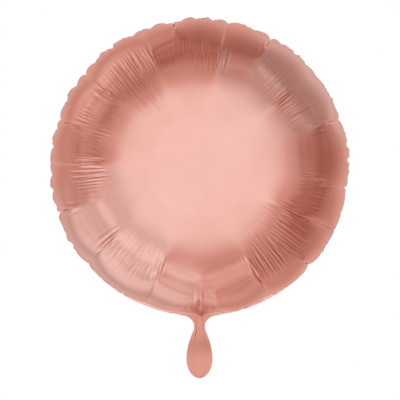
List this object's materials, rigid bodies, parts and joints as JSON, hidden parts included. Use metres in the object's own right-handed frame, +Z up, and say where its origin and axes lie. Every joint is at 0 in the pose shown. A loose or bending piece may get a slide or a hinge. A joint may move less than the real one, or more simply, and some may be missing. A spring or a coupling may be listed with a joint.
{
  "type": "round foil balloon",
  "caption": "Round inflated party balloon of metallised foil, with a crimped edge, a narrow neck, a teardrop filling tail and an inner film valve.",
  "frame": {"origin": "middle of the neck at its narrowest, in the plane of the weld, where a ribbon is tied and the tail folds", "axes": "+Z up, from the tail to the balloon, along the longest extent; the front faces -Y; +Y is the shortest extent"},
  "size_m": [0.346, 0.2, 0.4175],
  "materials": {
    "foil": "glossy metallised film, rose gold",
    "valve_film": "translucent polyethylene film"
  },
  "bodies": {
    "envelope": {"front_panel": "foil", "back_panel": "foil", "neck_fold_front": "foil", "neck_fold_back": "foil", "valve_film_front": "valve_film", "valve_film_back": "valve_film"},
    "tail": {"tail_front": "foil", "tail_back": "foil"}
  },
  "joints": [
    {"name": "tail_fold", "type": "hinge", "parent": "envelope", "child": "tail", "pos_m": [0, 0, 0], "axis": [1, 0, 0], "range_deg": [-115, 115], "stiffness_Nm_per_rad": 0.0001, "deforming": ["neck_fold_front", "neck_fold_back", "valve_film_front", "valve_film_back"]}
  ]
}
